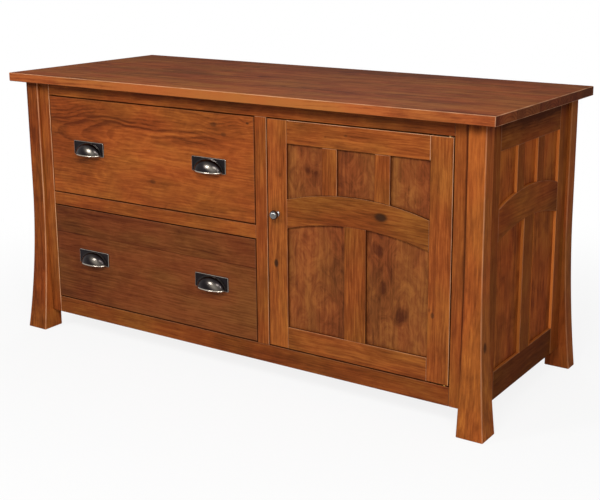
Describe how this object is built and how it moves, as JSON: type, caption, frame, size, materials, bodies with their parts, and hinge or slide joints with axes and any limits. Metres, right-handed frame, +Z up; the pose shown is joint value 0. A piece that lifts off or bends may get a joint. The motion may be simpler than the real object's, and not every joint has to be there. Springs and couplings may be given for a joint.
{
  "type": "credenza",
  "caption": "Wooden office credenza with file drawers beside an arched frame and panel door, swept corner posts, arched panelled ends and an overhanging top.",
  "frame": {"origin": "on the floor, under the centre of the top", "axes": "+X along the length, towards the door's end; +Y from the front to the back; +Z up"},
  "size_m": [1.51, 0.605, 0.762],
  "materials": {
    "cherry_top": "stained cherry, edge-glued planks, satin lacquer",
    "cherry_post": "stained cherry, vertical grain, satin lacquer",
    "cherry_frame": "stained cherry, satin lacquer",
    "cherry_front": "stained cherry with cathedral grain, satin lacquer",
    "cherry_panel": "stained cherry panel with blotched figure, satin lacquer",
    "cherry_board": "plain veneered board, sealed",
    "maple_box": "clear lacquered maple",
    "zinc_steel": "zinc plated sheet steel",
    "black_nickel": "polished black nickel plate",
    "polished_nickel": "polished dark nickel plate",
    "brass": "plain brass",
    "catch_plastic": "brown moulded plastic"
  },
  "bodies": {
    "cabinet": {"top": "cherry_top", "post_front_left": "cherry_post", "post_front_right": "cherry_post", "post_back_left": "cherry_post", "post_back_right": "cherry_post", "stile_left": "cherry_frame", "stile_middle": "cherry_frame", "stile_right": "cherry_frame", "rail_top": "cherry_frame", "rail_divider": "cherry_frame", "rail_bottom": "cherry_frame", "end_frame_left": "cherry_frame", "end_frame_right": "cherry_frame", "end_panel_left": "cherry_panel", "end_panel_right": "cherry_panel", "back_panel": "cherry_board", "bottom_board": "cherry_board", "partition": "cherry_board", "drawer_bay_side": "cherry_board", "shelf": "cherry_board", "slide_case_upper_left": "zinc_steel", "slide_case_upper_right": "zinc_steel", "slide_case_lower_left": "zinc_steel", "slide_case_lower_right": "zinc_steel", "hinge_pin_leaf_top": "brass", "hinge_pin_leaf_bottom": "brass", "door_catch": "catch_plastic"},
    "drawer_upper": {"drawer_front_upper": "cherry_front", "drawer_box_upper": "maple_box", "pull_upper_left": "black_nickel", "pull_upper_right": "black_nickel", "slide_drawer_upper_left": "zinc_steel", "slide_drawer_upper_right": "zinc_steel"},
    "drawer_lower": {"drawer_front_lower": "cherry_front", "drawer_box_lower": "maple_box", "pull_lower_left": "black_nickel", "pull_lower_right": "black_nickel", "slide_drawer_lower_left": "zinc_steel", "slide_drawer_lower_right": "zinc_steel"},
    "slide_middles_upper": {"slide_middle_upper_left": "zinc_steel", "slide_middle_upper_right": "zinc_steel"},
    "slide_middles_lower": {"slide_middle_lower_left": "zinc_steel", "slide_middle_lower_right": "zinc_steel"},
    "door": {"door_stile_latch": "cherry_front", "door_stile_hinge": "cherry_front", "door_rail_top": "cherry_front", "door_rail_arch": "cherry_front", "door_rail_bottom": "cherry_front", "door_muntin_left": "cherry_front", "door_muntin_right": "cherry_front", "door_mullion": "cherry_front", "door_panel_upper_left": "cherry_panel", "door_panel_upper_middle": "cherry_panel", "door_panel_upper_right": "cherry_panel", "door_panel_lower_left": "cherry_panel", "door_panel_lower_right": "cherry_panel", "door_knob": "polished_nickel", "hinge_door_leaf_top": "brass", "hinge_door_leaf_bottom": "brass", "door_strike": "zinc_steel"}
  },
  "joints": [
    {"name": "drawer_upper_slide", "type": "slide", "parent": "cabinet", "child": "drawer_upper", "axis": [0, -1, 0], "range_m": [0, 0.47]},
    {"name": "drawer_lower_slide", "type": "slide", "parent": "cabinet", "child": "drawer_lower", "axis": [0, -1, 0], "range_m": [0, 0.47]},
    {"name": "slide_middle_upper_run", "type": "slide", "parent": "cabinet", "child": "slide_middles_upper", "axis": [0, -1, 0], "range_m": [0, 0.235]},
    {"name": "slide_middle_lower_run", "type": "slide", "parent": "cabinet", "child": "slide_middles_lower", "axis": [0, -1, 0], "range_m": [0, 0.235]},
    {"name": "door_swing", "type": "hinge", "parent": "cabinet", "child": "door", "pos_m": [0.626, -0.2555, 0.107], "axis": [0, 0, 1], "range_deg": [0, 110]}
  ],
  "couplings": [
    {"joint": "slide_middle_upper_run", "follows": "drawer_upper_slide", "ratio": 0.5},
    {"joint": "slide_middle_lower_run", "follows": "drawer_lower_slide", "ratio": 0.5}
  ]
}
